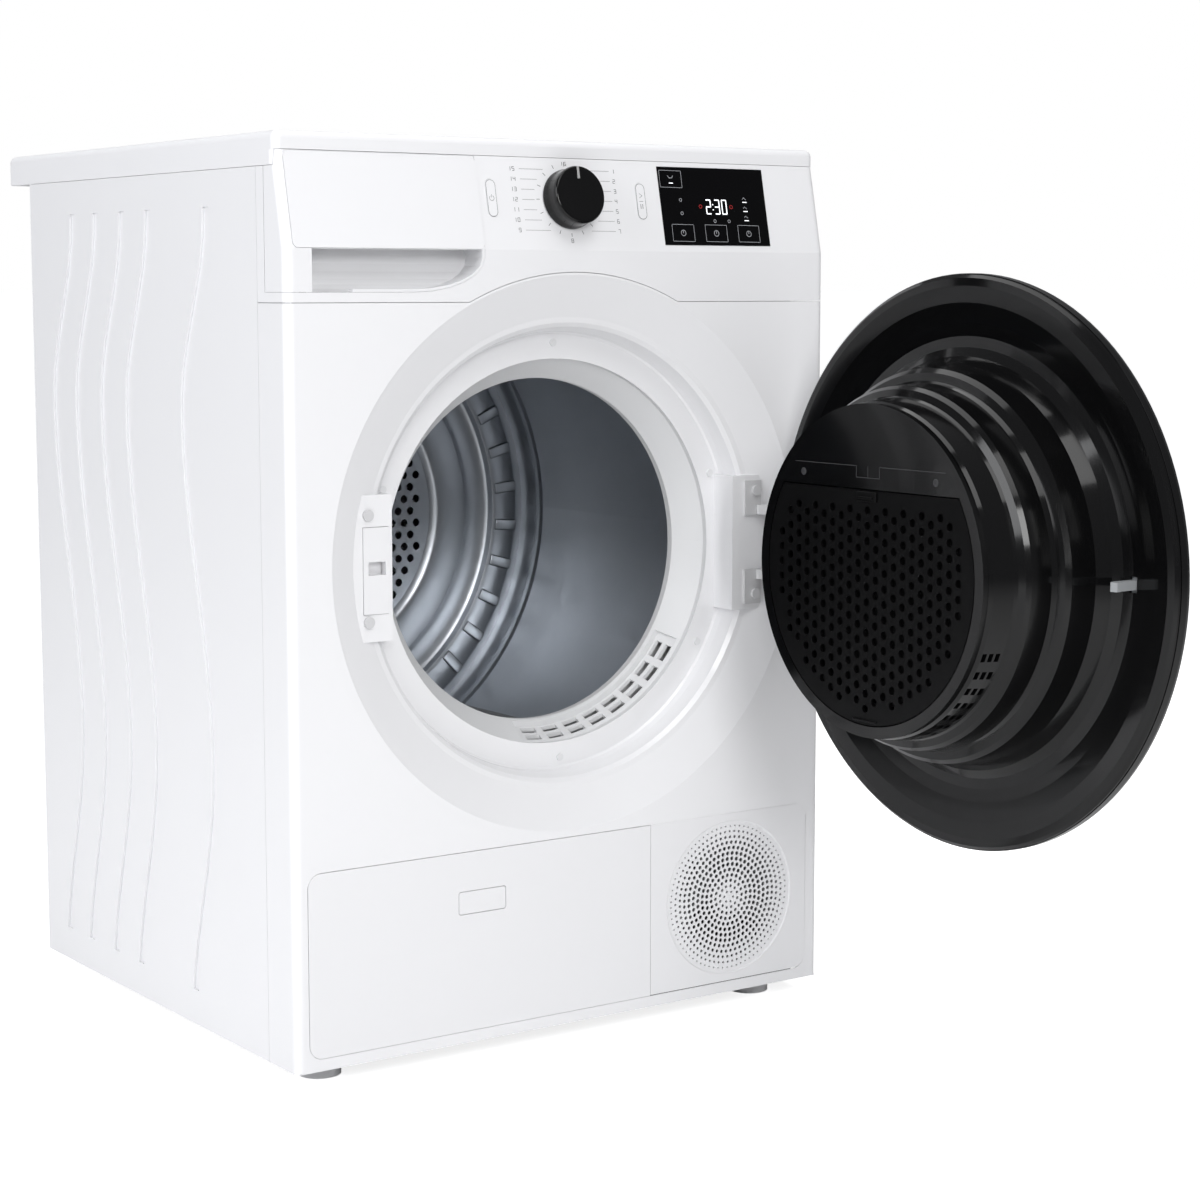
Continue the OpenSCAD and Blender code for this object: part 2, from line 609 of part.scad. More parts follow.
module blower_housing() {
    y0 = belt_y - 174;
    color("gray") at_front() difference() {
        union() {
            port_rod(motor_x, motor_z, y0, y0 + 48, blower_r + 6, 64);
            box(motor_x - 30, motor_x + 30, y0, y0 + 48, 63, motor_z - 20);
        }
        port_rod(motor_x, motor_z, y0 + 3, y0 + 45, blower_r + 3, 64);
        port_rod(motor_x, motor_z, y0 - 1, y0 + 50, 14, 32);
        port_rod(motor_x, motor_z, y0 - 1, y0 + 6, 36, 64);
    }
}
// The idler presses on the slack side of the belt, just above the motor pulley.
idler_r = 16;
belt_run = [motor_x - port_x, motor_z - port_z];
run_len = norm(belt_run);
run_dir = atan2(port_z - motor_z, port_x - motor_x) - asin((drum_r - pulley_r) / run_len);
idler_off = pulley_r + belt_gap + belt_t + 0.5 + idler_r;
idler_at = [motor_x + idler_off * sin(run_dir) + 42 * cos(run_dir), motor_z - idler_off * cos(run_dir) + 42 * sin(run_dir)];
idler_pivot = [idler_at.x + 8, idler_at.y - 56];
module idler_arm() {
    y = belt_y + 9;
    color("silver") at_front() difference() {
        union() {
            hull() {
                port_rod(idler_at.x, idler_at.y, y, y + 4, 8, 32);
                port_rod(idler_pivot.x, idler_pivot.y, y, y + 4, 9, 32);
            }
            port_rod(idler_at.x, idler_at.y, y - 15, y + 1, 4, 32);
        }
        port_rod(idler_pivot.x, idler_pivot.y, y - 1, y + 6, 5 + run_fit, 32);
    }
}
module idler_wheel() {
    color("dimgray") at_front() difference() {
        port_rod(idler_at.x, idler_at.y, belt_y - 5, belt_y + 5, idler_r, 48);
        port_rod(idler_at.x, idler_at.y, belt_y - 8, belt_y + 8, 4 + run_fit, 32);
    }
}

// ---- Heat pump ----
module compressor() {
    x = half_w - 125;
    y = depth - 115;
    color("black") at_front() translate([x, y, 64]) {
        rotate_extrude($fn = 64) polygon([[0, 0], [52, 0], [60, 6], [62, 12], [62, 100], [56, 118], [40, 128], [0, 132]]);
        for (k = [0 : 2]) rotate(120 * k) translate([30, -14, -1]) cube([44, 28, 4]);
    }
}
module heat_exchanger() {
    color("silver") at_front() for (y = [90, 240]) {
        box(-half_w + 40, -half_w + 44, y, y + 120, 64, 172);
        box(-half_w + 226, -half_w + 230, y, y + 120, 64, 172);
        for (i = [0 : 22]) box(-half_w + 42, -half_w + 228, y + 3 + 5 * i, y + 4.2 + 5 * i, 66, 170);
        for (z = [84 : 22 : 160], k = [0 : 2])
            translate([-half_w + 34, y + 20 + 38 * k, z]) rotate([0, 90, 0]) cylinder(r = 4, h = 202, $fn = 24);
    }
}
module condensate_pump() {
    color("dimgray") at_front() translate([-half_w + 120, depth - 70, 25]) {
        cylinder(r = 26, h = 30, $fn = 48);
        translate([0, 0, 30]) cylinder(r = 18, h = 34, $fn = 48);
    }
}

// ---- Service flap and round air grille at the foot of the front ----
flap_x0 = -half_w + kick_inset + panel_gap;
flap_x1 = kick_split - panel_gap / 2;
flap_z0 = kick_bottom + panel_gap;
flap_z1 = kick_top - panel_gap;
latch_x = (flap_x0 + flap_x1) / 2 - 5;
latch_z = 151;
module service_flap() {
    color("white") at_front() difference() {
        union() {
            rounded_plate(flap_x0, flap_x1 + 40, flap_z0, flap_z1, -0.5, 2.5, kick_r - 1);
            box(flap_x0 + 20, flap_x1 - 12, 2, 8, flap_z1 - 14, flap_z1 - 11);
        }
        box(flap_x1, flap_x1 + 60, -2, 20, flap_z0 - 2, flap_z1 + 2);
        rounded_plate(latch_x - 26, latch_x + 26, latch_z - 11, latch_z + 11, -2, 5, 2.5);
    }
}
module flap_button() {
    color("white") at_front() {
        rounded_plate(latch_x - 25.4, latch_x + 25.4, latch_z - 10.4, latch_z + 10.4, -0.3, 5, 2);
        box(latch_x - 6, latch_x + 6, 4, 12, latch_z + 4, latch_z + 8);
    }
}
grille_x = half_w - 114;
grille_z = 115.5;
grille_r = 77;
module grille_panel() {
    x1 = half_w - kick_inset - 4 - panel_gap;
    color("white") at_front() difference() {
        rounded_plate(kick_split - 40, x1, flap_z0, flap_z1, -0.5, 2.5, kick_r - 1);
        box(kick_split - 60, kick_split + panel_gap / 2, -2, 20, flap_z0 - 2, flap_z1 + 2);
        port_rod(grille_x, grille_z, -3, -0.2, grille_r, 96);
        for (ring = [1 : 6], k = [0 : 5 * ring - 1]) translate([grille_x, 0, grille_z])
            rotate([0, 360 * k / (5 * ring), 0]) translate([11.5 * ring, -3, 0])
                rotate([-90, 0, 0]) cylinder(r = 2.2, h = 9, $fn = 6);
    }
}

// ---- Door, standing open at a right angle to the front ----
// Its own frame: z points to the inside of the door, +x towards the hinge, -y up.
module at_door() {
    at_front() translate([hinge_x, -hinge_out - hinge_reach, port_z])
        rotate([-90, 0, 0]) rotate([0, -90, 0]) children();
}
cover_t = 3;
dome_r = 150;
dome_h = 122;
notch_half = 68;
module door_cover() {
    r = door_r;
    color("black") at_door() difference() {
        union() {
            rotate_extrude($fn = 144) polygon([[0, -21], [120, -20.2], [200, -18], [r - 14, -15], [r - 5, -12.5],
                [r - 1, -8.5], [r, -5], [r, 2], [r - cover_t, 2], [r - cover_t, -5], [r - cover_t - 1, -7.5],
                [r - cover_t - 4, -9.8], [r - 14, -12], [200, -15], [120, -17.2], [0, -18]]);
            for (s = [-1, 1]) translate([212, s * 20, -16]) cylinder(r = 5, h = 4.9, $fn = 32);
        }
        // room for the hinge ears when the door stands open
        translate([243, -42, -4.5]) cube([40, 84, 10]);
    }
}
// Lathe profile of the door's inner face, from its rim to the front of the dome.
liner_out = [[door_r - 0.8, 2.4], [door_r - 1.2, 4], [door_r - 4, 6.4], [door_r - 11, 7.4], [236, 6], [218, 2],
    [206, 0], [196, 1.5], [188, 7], [182, 20], [178, 44], [174, 48], [167, 50], [165, 55], [163, 76],
    [160, 80], [154, 83], [152.5, 86], [dome_r, 108], [dome_r - 1.5, 112]];
liner_in = [[dome_r - 4.5, 111], [dome_r - 3, 107], [149.5, 84], [152, 80.5], [158, 77.5], [160, 74], [162, 54],
    [164.5, 47.3], [172, 45], [175, 42], [179, 19], [185.5, 5], [195, -1.5], [206, -3], [218.5, -1], [232, 3],
    [door_r - 16, 4.4], [door_r - 9.5, 4], [door_r - 7, 2.4]];
module door_liner() {
    color("black") at_door() difference() {
        union() {
            rotate_extrude($fn = 144) polygon(concat(liner_out, liner_in));
            // dome front: a frame round the filter cover, closed above it
            difference() {
                translate([0, 0, 108]) cylinder(r = dome_r - 1.6, h = 10, $fn = 144);
                translate([0, 0, 107]) intersection() {
                    cylinder(r = dome_r - 12, h = 12, $fn = 144);
                    translate([-200, chord_y - 1, -1]) cube([400, 400, 20]);
                }
                translate([-200, -200, 104]) cube([400, 200 + chord_y - 8, 9]);
            }
        }
        translate([203, -notch_half, -8]) cube([80, 2 * notch_half, 30]);
        translate([-211, -7, -6]) cube([9, 14, 20]);
        // air inlet slots in the lower side of the dome
        for (i = [0 : 8], j = [0 : 2]) rotate([0, 0, 100 + 7 * i])
            translate([136, -5, 89 + 7 * j]) cube([30, 8, 4.5]);
    }
}
chord_y = -72;
face_r = dome_r - 13;
// Perforated cover over the lint filter, hinged along its lower edge.
module filter_cover() {
    color("black") at_door() difference() {
        union() {
            intersection() {
                translate([0, 0, 115]) cylinder(r = face_r, h = 3, $fn = 144);
                translate([-200, chord_y, 100]) cube([400, 400, 60]);
            }
            translate([-16, face_r - 4, 118]) rotate([0, 90, 0]) cylinder(r = 1.4, h = 32, $fn = 32);
        }
        for (i = [-10 : 10], j = [-5 : 9]) let (x = 11.8 * i, y = 13.6 * (j + (i % 2 == 0 ? 0 : 0.5)))
            if (norm([x, y]) < face_r - 12 && y > chord_y + 12)
                translate([x, y, 110]) cylinder(r = 3.8, h = 12, $fn = 6);
    }
}
module lint_filter() {
    color("dimgray") at_door() {
        difference() {
            intersection() {
                translate([0, 0, 96]) cylinder(r = face_r - 16, h = 18.8, $fn = 96);
                translate([-200, chord_y + 12, 90]) cube([400, 400, 60]);
            }
            intersection() {
                translate([0, 0, 98]) cylinder(r = face_r - 20, h = 20, $fn = 96);
                translate([-200, chord_y + 16, 90]) cube([400, 400, 60]);
            }
        }
    }
}
module door_hook() {
    color("lightgray") at_door() {
        translate([-215, -11, -13.8]) cube([16, 22, 10.5]);
        translate([-1.5, 4, 0]) rotate([90, 0, 0]) linear_extrude(8)
            polygon([[-208.6, -6], [-201.4, -6], [-201.4, 20], [-203, 26], [-205, 28], [-211, 26], [-211, 22], [-208.6, 20]]);
    }
}
knuckle_half = 26;
ear_out = 38;
knuckle_r = 6;
module hinge_leaf() {
    color("darkgray") at_door() difference() {
        union() {
            translate([hinge_reach, knuckle_half, 0]) rotate([90, 0, 0]) cylinder(r = knuckle_r, h = 2 * knuckle_half, $fn = 48);
            translate([204, -knuckle_half, -11]) cube([hinge_reach - 204, 2 * knuckle_half, 4.5]);
            translate([hinge_reach - 8, -knuckle_half, -11]) cube([8, 2 * knuckle_half, 8.5]);
        }
        translate([hinge_reach, knuckle_half + 1, 0]) rotate([90, 0, 0])
            cylinder(r = pin_r + run_fit, h = 2 * knuckle_half + 2, $fn = 32);
    }
}
// Two ears bolted to the pad, one above and one below the leaf's knuckle.
module hinge_bracket() {
    color("silver") at_front() difference() {
        union() {
            for (s = [-1, 1]) {
                zc = port_z + s * 51;
                box(port_x + 206, port_x + 226, pad_y - 2.2, pad_y - 0.2, min(zc - 10, port_z + s * 26.5), max(zc + 10, port_z + s * 26.5));
                hull() {
                    translate([hinge_x, -hinge_out, port_z + s * 32]) cylinder(r = knuckle_r, h = 9, center = true, $fn = 32);
                    translate([port_x + 222, pad_y - 4.5, port_z + s * 32]) cylinder(r = 3, h = 9, center = true, $fn = 32);
                }
            }
        }
        translate([hinge_x, -hinge_out, port_z - 60]) cylinder(r = pin_r, h = 120, $fn = 32);
        for (s = [-1, 1]) port_rod(port_x + 219, port_z + s * 51, pad_y - 4, pad_y + 3, screw_r, 24);
    }
}
module hinge_pin() {
    color("silver") at_front() translate([hinge_x, -hinge_out, port_z - ear_out])
        cylinder(r = pin_r, h = 2 * ear_out, $fn = 32);
}
module pan_screw(x, z, y) {
    port_rod(x, z, y - 2.6, y, 5.2, 32);
    port_rod(x, z, y - 0.1, y + 11, screw_r - 0.2, 24);
}
module latch_plate() {
    xm = port_x - 211;
    color("white") at_front() difference() {
        box(xm - 13, xm + 13, pad_y - 1, pad_y + 7, port_z - 41, port_z + 37);
        box(xm - 8, xm + 10, pad_y - 3, pad_y + 9, port_z - 6, port_z + 6);
    }
}
module latch_screws() {
    color("silver") at_front() {
        for (s = [-1, 1]) pan_screw(port_x - 219, port_z + s * 48, pad_y - 0.1);
        for (s = [-1, 1]) pan_screw(port_x + 219, port_z + s * 51, pad_y - 2.3);
    }
}

// ---- Rear connections ----
module cable_gland() {
    color("black") at_front() difference() {
        union() {
            port_rod(-half_w + 70, height - 120, depth - 6, depth + 14, 7.8, 32);
            port_rod(-half_w + 70, height - 120, depth + 0.2, depth + 4, 12, 6);
        }
        port_rod(-half_w + 70, height - 120, depth - 8, depth + 16, 4, 32);
    }
}
module drain_spigot() {
    color("dimgray") at_front() difference() {
        union() {
            port_rod(-half_w + 120, 110, depth - 10, depth + 30, 8.8, 48);
            port_rod(-half_w + 120, 110, depth + 0.2, depth + 3, 15, 48);
        }
        port_rod(-half_w + 120, 110, depth - 12, depth + 32, 6.5, 32);
    }
}

left_side_panel();
right_side_panel();
front_panel();
rear_panel();
rear_duct_cover();
worktop();
base_tray();
feet();
top_brace();
control_fascia();
display_glass();
control_board();
knob();
knob_pointer();
knob_encoder();
power_button();
start_button();
drawer_front();
water_tank();
tank_cap();
tank_tray();
front_bulkhead();
air_grille();
bulkhead_screws();
drum_seal();
drum_shell();
drum_rear_wall();
drum_lifters();
drum_shaft();
shaft_bearing();
roller_left();
roller_right();
roller_axles();
drum_belt();
motor();
motor_rotor();
blower_wheel();
blower_housing();
idler_arm();
idler_wheel();
compressor();
heat_exchanger();
condensate_pump();
service_flap();
flap_button();
grille_panel();
door_cover();
door_liner();
filter_cover();
lint_filter();
door_hook();
hinge_leaf();
hinge_bracket();
hinge_pin();
latch_plate();
latch_screws();
cable_gland();
drain_spigot();
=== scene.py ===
# %% [markdown]
# # A clothes dryer with its door open
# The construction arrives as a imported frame: every sub-part sits in its place, in metres, and rides on the
# body that moves it. This lesson gives each part its finish, and remakes the parts whose surface carries
# detail that a construction model leaves out: perforations, rounded edges, printing and lit digits.

# %% Load the frame
import bpy, bmesh, json, math
from mathutils import Matrix, Vector
from math import sin, cos, radians, pi


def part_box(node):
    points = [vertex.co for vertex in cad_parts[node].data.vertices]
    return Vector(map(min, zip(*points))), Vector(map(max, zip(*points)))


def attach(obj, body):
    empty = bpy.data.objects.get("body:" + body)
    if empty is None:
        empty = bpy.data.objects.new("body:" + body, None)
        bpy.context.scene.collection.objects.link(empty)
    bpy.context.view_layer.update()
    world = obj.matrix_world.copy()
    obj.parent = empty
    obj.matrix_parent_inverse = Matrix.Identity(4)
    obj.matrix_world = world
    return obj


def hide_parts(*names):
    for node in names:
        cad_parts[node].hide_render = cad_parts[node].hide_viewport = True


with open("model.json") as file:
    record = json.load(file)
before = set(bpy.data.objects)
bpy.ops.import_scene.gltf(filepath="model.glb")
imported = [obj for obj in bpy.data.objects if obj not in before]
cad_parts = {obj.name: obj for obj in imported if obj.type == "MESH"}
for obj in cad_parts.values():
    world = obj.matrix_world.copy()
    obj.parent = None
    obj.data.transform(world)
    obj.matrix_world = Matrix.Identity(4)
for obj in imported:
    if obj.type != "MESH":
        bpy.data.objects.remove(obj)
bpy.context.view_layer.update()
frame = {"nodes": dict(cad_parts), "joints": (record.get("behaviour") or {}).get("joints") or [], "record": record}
nodes = frame["nodes"]

# %% [markdown]
# The camera stands to the left of the machine at chest height and looks slightly down, far enough away for
# the upright edges to stay nearly parallel. The lens is a short telephoto.

# %% Camera
CAMERA_AT = Vector((-1.3586, -2.2565, 0.7151))
CAMERA_TURN = radians(35.01)
CAMERA_DOWN = radians(6.90)
LENS_MM = 77.43
SENSOR_MM = 36
camera_data = bpy.data.cameras.new("camera")
camera_data.lens = LENS_MM
camera_data.sensor_width = SENSOR_MM
camera = bpy.data.objects.new("camera", camera_data)
camera.location = CAMERA_AT
camera.rotation_euler = (pi / 2 - CAMERA_DOWN, 0, -CAMERA_TURN)
bpy.context.collection.objects.link(camera)
bpy.context.scene.camera = camera
bpy.context.scene.view_settings.view_transform = "Standard"
print("camera lens", camera_data.lens, "mm")

# %% [markdown]
# A white appliance on white needs soft light that differs from side to side, or its edges vanish. One large
# panel lights the front, another the side, and the world fills in. A strip light gives black gloss its long
# highlights, and a small light reaches into the drum.

# %% Floor, world and lights
FILL_STRENGTH = 0.235
FLOOR_HALF = 400
FLOOR_GLOW = 0.80


def emission_only_for_camera(world):
    tree = world.node_tree
    tree.nodes.clear()
    out = tree.nodes.new("ShaderNodeOutputWorld")
    seen = tree.nodes.new("ShaderNodeBackground")
    fill = tree.nodes.new("ShaderNodeBackground")
    mix = tree.nodes.new("ShaderNodeMixShader")
    path = tree.nodes.new("ShaderNodeLightPath")
    seen.inputs["Color"].default_value = (1, 1, 1, 1)
    fill.inputs["Color"].default_value = (0.96, 0.97, 1, 1)
    fill.inputs["Strength"].default_value = FILL_STRENGTH
    tree.links.new(path.outputs["Is Camera Ray"], mix.inputs[0])
    tree.links.new(fill.outputs[0], mix.inputs[1])
    tree.links.new(seen.outputs[0], mix.inputs[2])
    tree.links.new(mix.outputs[0], out.inputs[0])


def area_light(name, at, aim, size, watts, tint=(1, 1, 1)):
    data = bpy.data.lights.new(name, "AREA")
    data.shape = "RECTANGLE"
    data.size, data.size_y = size
    data.energy = watts
    data.color = tint
    lamp = bpy.data.objects.new(name, data)
    lamp.location = at
    lamp.rotation_euler = (Vector(aim) - Vector(at)).to_track_quat("-Z", "Y").to_euler()
    bpy.context.collection.objects.link(lamp)
    return lamp


world = bpy.data.worlds.new("studio")
world.use_nodes = True
bpy.context.scene.world = world
emission_only_for_camera(world)
area_light("front_panel_light", (-0.6, -3.2, 4.3), (0, 0, 0.4), (2.6, 2.2), 66)
area_light("side_panel_light", (-4.0, -0.6, 2.2), (0, 0, 0.4), (2.0, 2.4), 88, (0.97, 0.98, 1))
area_light("top_light", (0.2, 0.4, 3.4), (0, 0, 0.8), (2.6, 2.6), 46)
area_light("strip_light", (-1.9, -3.0, 1.5), (0.24, -0.5, 0.46), (0.16, 1.9), 9)
area_light("inside_light", (-0.6, -2.3, 1.3), (0.05, 0.1, 0.42), (0.7, 0.7), 17)

floor_mesh = bpy.data.meshes.new("floor")
floor_mesh.from_pydata([(x * FLOOR_HALF, y * FLOOR_HALF, 0) for x, y in ((-1, -1), (1, -1), (1, 1), (-1, 1))],
                       [], [(0, 1, 2, 3)])
floor = bpy.data.objects.new("floor", floor_mesh)
bpy.context.collection.objects.link(floor)

# %% [markdown]
# Every finish is a Principled shader with its own small texture. Object coordinates are in metres, so a
# noise of scale 400 has grains of about two millimetres. `finish` sets the constants and adds a bump and a
# slow change of roughness, which is what keeps a moulded or painted surface from looking computed.

# %% A helper for finishes
def finish(name, color, roughness, metallic=0.0, coat=0.0, bump=0.0, bump_scale=400.0, bump_detail=2.0,
           rough_swing=0.0, rough_scale=18.0, specular=0.5, stretch=(1, 1, 1)):
    material = bpy.data.materials.new(name)
    material.use_nodes = True
    tree = material.node_tree
    shader = tree.nodes["Principled BSDF"]
    shader.inputs["Base Color"].default_value = (*color, 1)
    shader.inputs["Roughness"].default_value = roughness
    shader.inputs["Metallic"].default_value = metallic
    shader.inputs["Coat Weight"].default_value = coat
    shader.inputs["Coat Roughness"].default_value = 0.06
    shader.inputs["Specular IOR Level"].default_value = specular
    place = tree.nodes.new("ShaderNodeTexCoord")
    mapping = tree.nodes.new("ShaderNodeMapping")
    mapping.inputs["Scale"].default_value = stretch
    tree.links.new(place.outputs["Object"], mapping.inputs["Vector"])
    if bump > 0:
        grain = tree.nodes.new("ShaderNodeTexNoise")
        grain.inputs["Scale"].default_value = bump_scale
        grain.inputs["Detail"].default_value = bump_detail
        relief = tree.nodes.new("ShaderNodeBump")
        relief.inputs["Strength"].default_value = bump
        relief.inputs["Distance"].default_value = 0.0006
        tree.links.new(mapping.outputs[0], grain.inputs["Vector"])
        tree.links.new(grain.outputs["Fac"], relief.inputs["Height"])
        tree.links.new(relief.outputs[0], shader.inputs["Normal"])
    if rough_swing > 0:
        cloud = tree.nodes.new("ShaderNodeTexNoise")
        cloud.inputs["Scale"].default_value = rough_scale
        cloud.inputs["Detail"].default_value = 4
        span = tree.nodes.new("ShaderNodeMapRange")
        span.inputs["To Min"].default_value = max(0.0, roughness - rough_swing)
        span.inputs["To Max"].default_value = roughness + rough_swing
        tree.links.new(mapping.outputs[0], cloud.inputs["Vector"])
        tree.links.new(cloud.outputs["Fac"], span.inputs["Value"])
        tree.links.new(span.outputs[0], shader.inputs["Roughness"])
    return material


# %% The finishes of this machine
enamel = finish("white_enamel", (0.82, 0.82, 0.835), 0.30, coat=0.35, bump=0.05, bump_scale=260,
                rough_swing=0.04)
white_moulded = finish("white_moulded", (0.80, 0.80, 0.815), 0.36, bump=0.07, bump_scale=900,
                       rough_swing=0.05)
bulkhead_white = finish("bulkhead_white", (0.74, 0.745, 0.755), 0.42, bump=0.10, bump_scale=1100,
                        rough_swing=0.05)
gloss_black = finish("gloss_black", (0.0025, 0.0025, 0.0027), 0.12, specular=0.26, coat=0.15,
                     rough_swing=0.03, rough_scale=9, bump=0.02, bump_scale=60)
satin_black = finish("satin_black", (0.002, 0.002, 0.0022), 0.45, specular=0.09, bump=0.12, bump_scale=1500,
                     rough_swing=0.06)
drum_steel = finish("drum_steel", (0.52, 0.545, 0.58), 0.36, metallic=1.0, bump=0.10, bump_scale=150,
                    bump_detail=5, rough_swing=0.10, rough_scale=70)
plated_steel = finish("plated_steel", (0.62, 0.62, 0.63), 0.26, metallic=1.0, bump=0.08, bump_scale=700,
                      rough_swing=0.08, rough_scale=120)
grey_moulded = finish("grey_moulded", (0.26, 0.27, 0.28), 0.5, bump=0.12, bump_scale=1100, rough_swing=0.06)
dark_moulded = finish("dark_moulded", (0.045, 0.046, 0.05), 0.5, bump=0.12, bump_scale=1100, rough_swing=0.06)
display_black = finish("display_black", (0.002, 0.002, 0.0024), 0.08, specular=0.12, rough_swing=0.02)
pale_moulded = finish("pale_moulded", (0.60, 0.60, 0.61), 0.4, bump=0.08, bump_scale=900, rough_swing=0.05)
rubber = finish("rubber", (0.02, 0.02, 0.02), 0.75, bump=0.2, bump_scale=800, rough_swing=0.08)
felt = finish("felt", (0.42, 0.38, 0.30), 0.95, bump=0.8, bump_scale=1400, bump_detail=6, rough_swing=0.04)
tank_plastic = finish("tank_plastic", (0.55, 0.60, 0.64), 0.38, bump=0.10, bump_scale=500, rough_swing=0.06)
fin_aluminium = finish("fin_aluminium", (0.70, 0.70, 0.71), 0.35, metallic=1.0, bump=0.1, bump_scale=900,
                       rough_swing=0.1)
board_green = finish("board_green", (0.01, 0.09, 0.035), 0.35, bump=0.1, bump_scale=300, rough_swing=0.08)
black_enamel = finish("black_enamel", (0.012, 0.012, 0.013), 0.3, coat=0.3, bump=0.08, bump_scale=200,
                      rough_swing=0.05)
floor_white = finish("floor_white", (0.93, 0.93, 0.93), 0.9, bump=0.02, bump_scale=20)
floor_tree = floor_white.node_tree
floor_glow = floor_tree.nodes.new("ShaderNodeMath")
seen_directly = floor_tree.nodes.new("ShaderNodeLightPath")
floor_glow.operation = "MULTIPLY"
floor_glow.inputs[1].default_value = FLOOR_GLOW
floor_tree.links.new(seen_directly.outputs["Is Camera Ray"], floor_glow.inputs[0])
floor_tree.links.new(floor_glow.outputs[0], floor_tree.nodes["Principled BSDF"].inputs["Emission Strength"])
floor_tree.nodes["Principled BSDF"].inputs["Emission Color"].default_value = (1, 1, 1, 1)
floor_mesh.materials.append(floor_white)
by_slot = {"white_enamel": enamel, "white_plastic": white_moulded, "black_gloss": gloss_black,
           "black_satin": satin_black, "drum_steel": drum_steel, "bright_steel": plated_steel,
           "grey_plastic": grey_moulded, "dark_plastic": dark_moulded, "display_glass": display_black,
           "black_rubber": rubber, "felt": felt, "tank_plastic": tank_plastic, "aluminium": fin_aluminium,
           "circuit_board": board_green, "black_paint": black_enamel}

# %% Dress the carried-over sub-parts
slot_of = {part["node"]: part["material_slot"] for part in frame["record"]["subparts"]}
for name, piece in nodes.items():
    material = by_slot[slot_of[name]]
    if name in ("front_bulkhead", "air_grille", "bulkhead_screws"):
        material = bulkhead_white
    if name in ("hinge_bracket", "hinge_leaf", "latch_screws"):
        material = pale_moulded
    if name == "feet":
        material = white_moulded
    piece.data.materials.clear()
    piece.data.materials.append(material)
print("dressed", len(nodes), "sub-parts")

# %% [markdown]
# Several parts are sheets with many holes: the round air grille, the cover over the lint filter and the rear
# wall of the drum. Cutting hundreds of holes one by one is slow and leaves poor meshes. Geometry Nodes fill
# the area between closed curves instead: the outline and the hole edges go in together, Fill Curve makes the
# sheet with its holes in one step, and Extrude gives it thickness.

# %% A perforated sheet from an outline and hole centres
def sheet_tree():
    tree = bpy.data.node_groups.new("perforated_sheet", "GeometryNodeTree")
    face = tree.interface
    face.new_socket("Geometry", in_out="INPUT", socket_type="NodeSocketGeometry")
    face.new_socket("Thickness", in_out="INPUT", socket_type="NodeSocketFloat")
    face.new_socket("Hole Corners", in_out="INPUT", socket_type="NodeSocketInt")
    face.new_socket("Finish", in_out="INPUT", socket_type="NodeSocketMaterial")
    face.new_socket("Geometry", in_out="OUTPUT", socket_type="NodeSocketGeometry")
    add, link = tree.nodes.new, tree.links.new
    given, result = add("NodeGroupInput"), add("NodeGroupOutput")
    outline, centres = add("GeometryNodeMeshToCurve"), add("GeometryNodeMeshToPoints")
    radius = add("GeometryNodeInputNamedAttribute")
    radius.data_type = "FLOAT"
    radius.inputs["Name"].default_value = "hole_r"
    is_hole = add("FunctionNodeCompare")
    is_hole.inputs["B"].default_value = 1e-6
    ring, copies = add("GeometryNodeCurvePrimitiveCircle"), add("GeometryNodeInstanceOnPoints")
    ring.inputs["Radius"].default_value = 1.0
    real, both = add("GeometryNodeRealizeInstances"), add("GeometryNodeJoinGeometry")
    fill = add("GeometryNodeFillCurve")
    push, back = add("GeometryNodeExtrudeMesh"), add("GeometryNodeFlipFaces")
    shell = add("GeometryNodeJoinGeometry")
    push.inputs["Individual"].default_value = False
    weld, dress = add("GeometryNodeMergeByDistance"), add("GeometryNodeSetMaterial")
    weld.inputs["Distance"].default_value = 1e-6
    link(given.outputs["Geometry"], outline.inputs["Mesh"])
    link(given.outputs["Geometry"], centres.inputs["Mesh"])
    link(radius.outputs["Attribute"], is_hole.inputs["A"])
    link(is_hole.outputs[0], centres.inputs["Selection"])
    link(given.outputs["Hole Corners"], ring.inputs["Resolution"])
    link(centres.outputs[0], copies.inputs["Points"])
    link(ring.outputs[0], copies.inputs["Instance"])
    link(radius.outputs["Attribute"], copies.inputs["Scale"])
    link(copies.outputs[0], real.inputs[0])
    link(outline.outputs[0], both.inputs[0])
    link(real.outputs[0], both.inputs[0])
    link(both.outputs[0], fill.inputs[0])
    link(fill.outputs[0], push.inputs["Mesh"])
    link(given.outputs["Thickness"], push.inputs["Offset Scale"])
    link(fill.outputs[0], back.inputs[0])
    link(push.outputs["Mesh"], shell.inputs[0])
    link(back.outputs[0], shell.inputs[0])
    link(shell.outputs[0], weld.inputs[0])
    link(weld.outputs[0], dress.inputs["Geometry"])
    link(given.outputs["Finish"], dress.inputs["Material"])
    realise = add("GeometryNodeRealizeInstances")
    link(dress.outputs[0], realise.inputs[0])
    link(realise.outputs[0], result.inputs[0])
    return tree


SHEET_TREE = sheet_tree()


